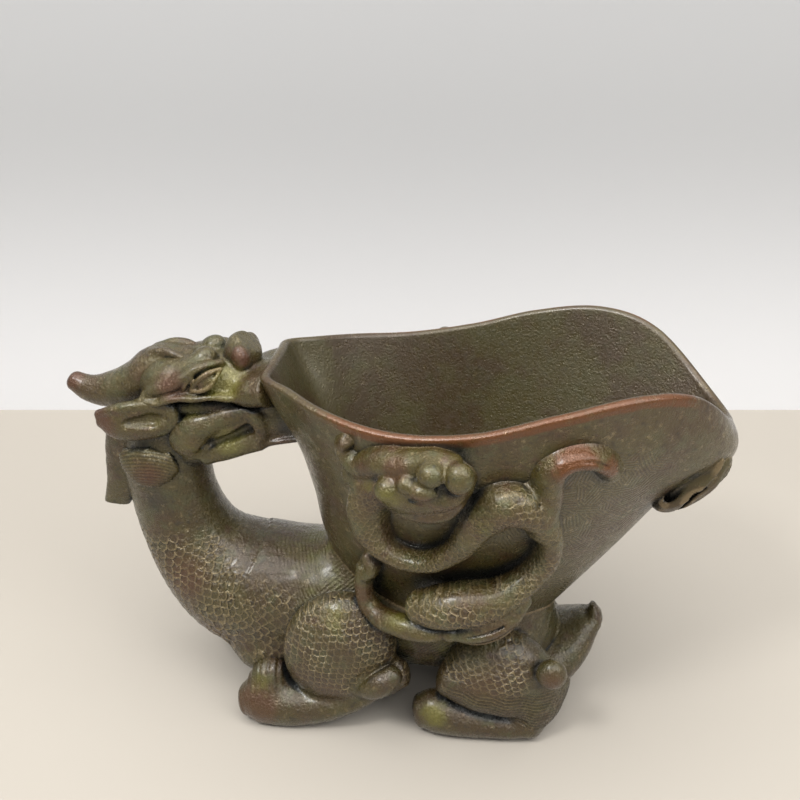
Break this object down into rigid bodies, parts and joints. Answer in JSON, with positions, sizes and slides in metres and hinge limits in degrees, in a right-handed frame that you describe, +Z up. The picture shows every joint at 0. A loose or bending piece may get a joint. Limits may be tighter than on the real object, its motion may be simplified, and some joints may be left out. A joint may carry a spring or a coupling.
{
  "type": "dragon-head cup",
  "caption": "Cast bronze cup on a crouching beast whose horned head bites the rim, with a finger loop, a scrolled lip and a climbing dragon on each wall.",
  "frame": {"origin": "on the ground, under the centre of the bounding box", "axes": "+Z up; +X from the dragon head to the scrolled lip; -Y is the side seen in the picture"},
  "size_m": [0.1597, 0.0822, 0.0974],
  "materials": {
    "vessel_bronze": "aged olive-brown patina, copper-red on the rim",
    "scaled_bronze": "chased scales, green-brown patina, copper-red on the paws",
    "head_bronze": "dark brown patina with green in the hollows",
    "rubbed_bronze": "patina rubbed through to copper-red",
    "relief_bronze": "chased relief, patina rubbed on the high points"
  },
  "bodies": {
    "root": {"cup_shell": "vessel_bronze", "lip_scroll": "vessel_bronze", "beast_body": "scaled_bronze", "dragon_head": "head_bronze", "lower_jaw": "head_bronze", "head_horn": "head_bronze", "nape_fin": "scaled_bronze", "tail": "rubbed_bronze", "ear_near": "head_bronze", "ear_far": "head_bronze", "cheek_mane_near": "rubbed_bronze", "cheek_mane_far": "rubbed_bronze", "front_leg_near": "scaled_bronze", "front_leg_far": "scaled_bronze", "hind_leg_near": "scaled_bronze", "hind_leg_far": "scaled_bronze", "chilong_near": "relief_bronze", "chilong_far": "relief_bronze"}
  },
  "joints": []
}
